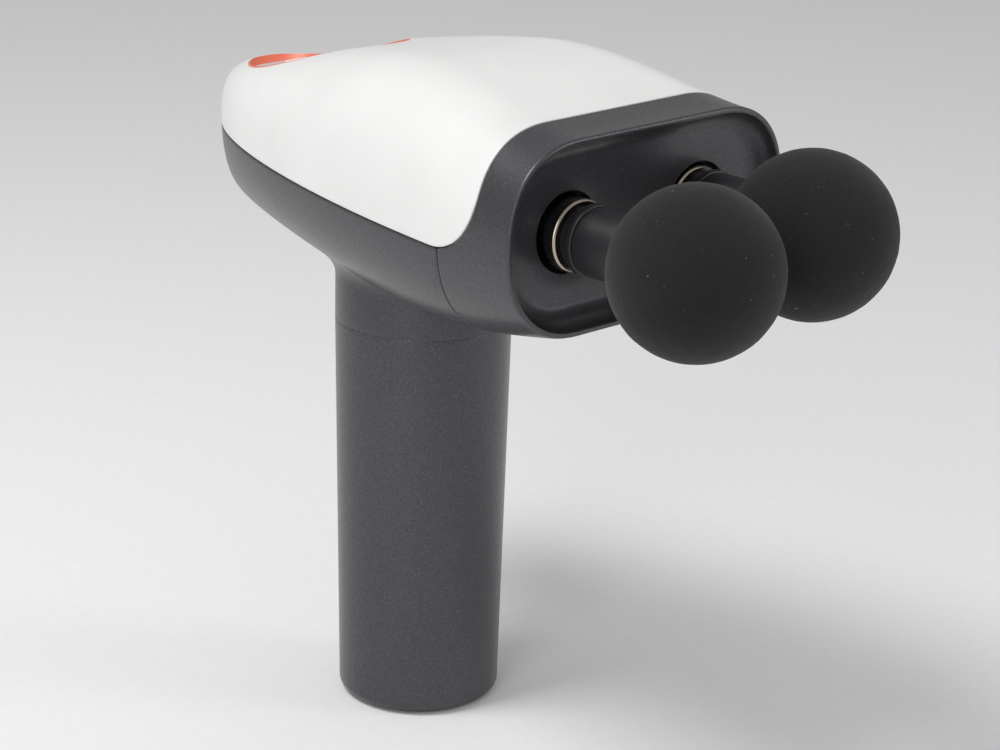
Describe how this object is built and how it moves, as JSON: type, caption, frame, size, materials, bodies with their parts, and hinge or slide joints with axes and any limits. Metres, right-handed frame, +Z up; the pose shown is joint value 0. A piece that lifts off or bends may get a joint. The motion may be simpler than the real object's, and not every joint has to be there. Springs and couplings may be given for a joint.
{
  "type": "massage gun",
  "caption": "Handheld percussion massage gun with twin foam ball heads, upright cylindrical grip, white top cover and a control panel on the rear slope.",
  "frame": {"origin": "centre of the flat base under the handle, on the handle axis", "axes": "+Z up along the handle, heads point towards -Y, X across the two heads with x = 0 the symmetry plane"},
  "size_m": [0.1008, 0.2363, 0.1986],
  "materials": {
    "cover_white": "satin",
    "shell_graphite": "metallic satin",
    "inner_plastic": "moulded",
    "rubber_black": "matt",
    "screw_steel": "machined",
    "cell_can": "shrink-wrapped",
    "board": "solder mask",
    "cast_aluminium": "cast",
    "winding_copper": "enamelled wire",
    "bush_bronze": "sintered",
    "trim_orange": "satin",
    "panel_grey": "satin",
    "led_clear": "clear",
    "button_clear": "frosted",
    "sleeve_steel": "dark plated",
    "stem_black": "satin",
    "foam_black": "closed-cell foam"
  },
  "bodies": {
    "gun": {"top_cover": "cover_white", "nose_shell": "shell_graphite", "lower_shell": "shell_graphite", "handle_tube": "shell_graphite", "handle_collar": "inner_plastic", "base_cap": "inner_plastic", "base_foot": "rubber_black", "lower_cell_holder": "inner_plastic", "upper_cell_holder": "inner_plastic", "base_screws": "screw_steel", "battery_cells": "cell_can", "battery_board": "board", "charge_socket": "inner_plastic", "drive_frame": "cast_aluminium", "frame_screws": "screw_steel", "motor_can": "cast_aluminium", "motor_windings": "winding_copper", "motor_screws": "screw_steel", "motor_bearings": "screw_steel", "right_piston_bush": "bush_bronze", "left_piston_bush": "bush_bronze", "right_wiper_seal": "rubber_black", "left_wiper_seal": "rubber_black", "rocker_pivot_pin": "screw_steel", "rocker_circlip": "screw_steel", "panel_ring": "trim_orange", "control_panel": "panel_grey", "led_windows": "led_clear", "control_board": "board", "button_switch": "inner_plastic", "board_screws": "screw_steel", "motor_board": "board"},
    "right_piston": {"right_piston_sleeve": "sleeve_steel", "right_clevis": "sleeve_steel"},
    "left_piston": {"left_piston_sleeve": "sleeve_steel", "left_clevis": "sleeve_steel"},
    "right_head": {"right_head_stem": "stem_black", "right_foam_ball": "foam_black", "right_stem_ring": "rubber_black"},
    "left_head": {"left_head_stem": "stem_black", "left_foam_ball": "foam_black", "left_stem_ring": "rubber_black"},
    "rocker_arm": {"rocker": "cast_aluminium", "rocker_bush": "bush_bronze", "rocker_end_pins": "screw_steel"},
    "rotor": {"motor_rotor": "screw_steel", "crank_disc": "screw_steel", "crank_pin": "screw_steel", "crank_roller": "bush_bronze"},
    "button": {"power_button": "button_clear"}
  },
  "joints": [
    {"name": "right_piston_slide", "type": "slide", "parent": "gun", "child": "right_piston", "axis": [0, -1, 0], "range_m": [-0.0074, 0.0026]},
    {"name": "left_piston_slide", "type": "slide", "parent": "gun", "child": "left_piston", "axis": [0, -1, 0], "range_m": [-0.0026, 0.0074]},
    {"name": "rocker_swing", "type": "hinge", "parent": "gun", "child": "rocker_arm", "pos_m": [0, -0.0313, 0.164], "axis": [0, 0, 1], "range_deg": [-17.7, 6.25]},
    {"name": "motor_spin", "type": "hinge", "parent": "gun", "child": "rotor", "pos_m": [0, 0, 0.14], "axis": [0, 0, 1], "continuous": true},
    {"name": "right_head_pull", "type": "slide", "parent": "right_piston", "child": "right_head", "axis": [0, -1, 0], "range_m": [0, 0.026]},
    {"name": "left_head_pull", "type": "slide", "parent": "left_piston", "child": "left_head", "axis": [0, -1, 0], "range_m": [0, 0.026]},
    {"name": "power_button_press", "type": "slide", "parent": "gun", "child": "button", "axis": [0, -0.2369, -0.9715], "range_m": [0, 0.0006], "stiffness_N_per_m": 1500}
  ],
  "couplings": [
    {"joint": "left_piston_slide", "follows": "right_piston_slide", "ratio": -1},
    {"joint": "rocker_swing", "follows": "right_piston_slide", "rad_per_m": 41.667}
  ]
}
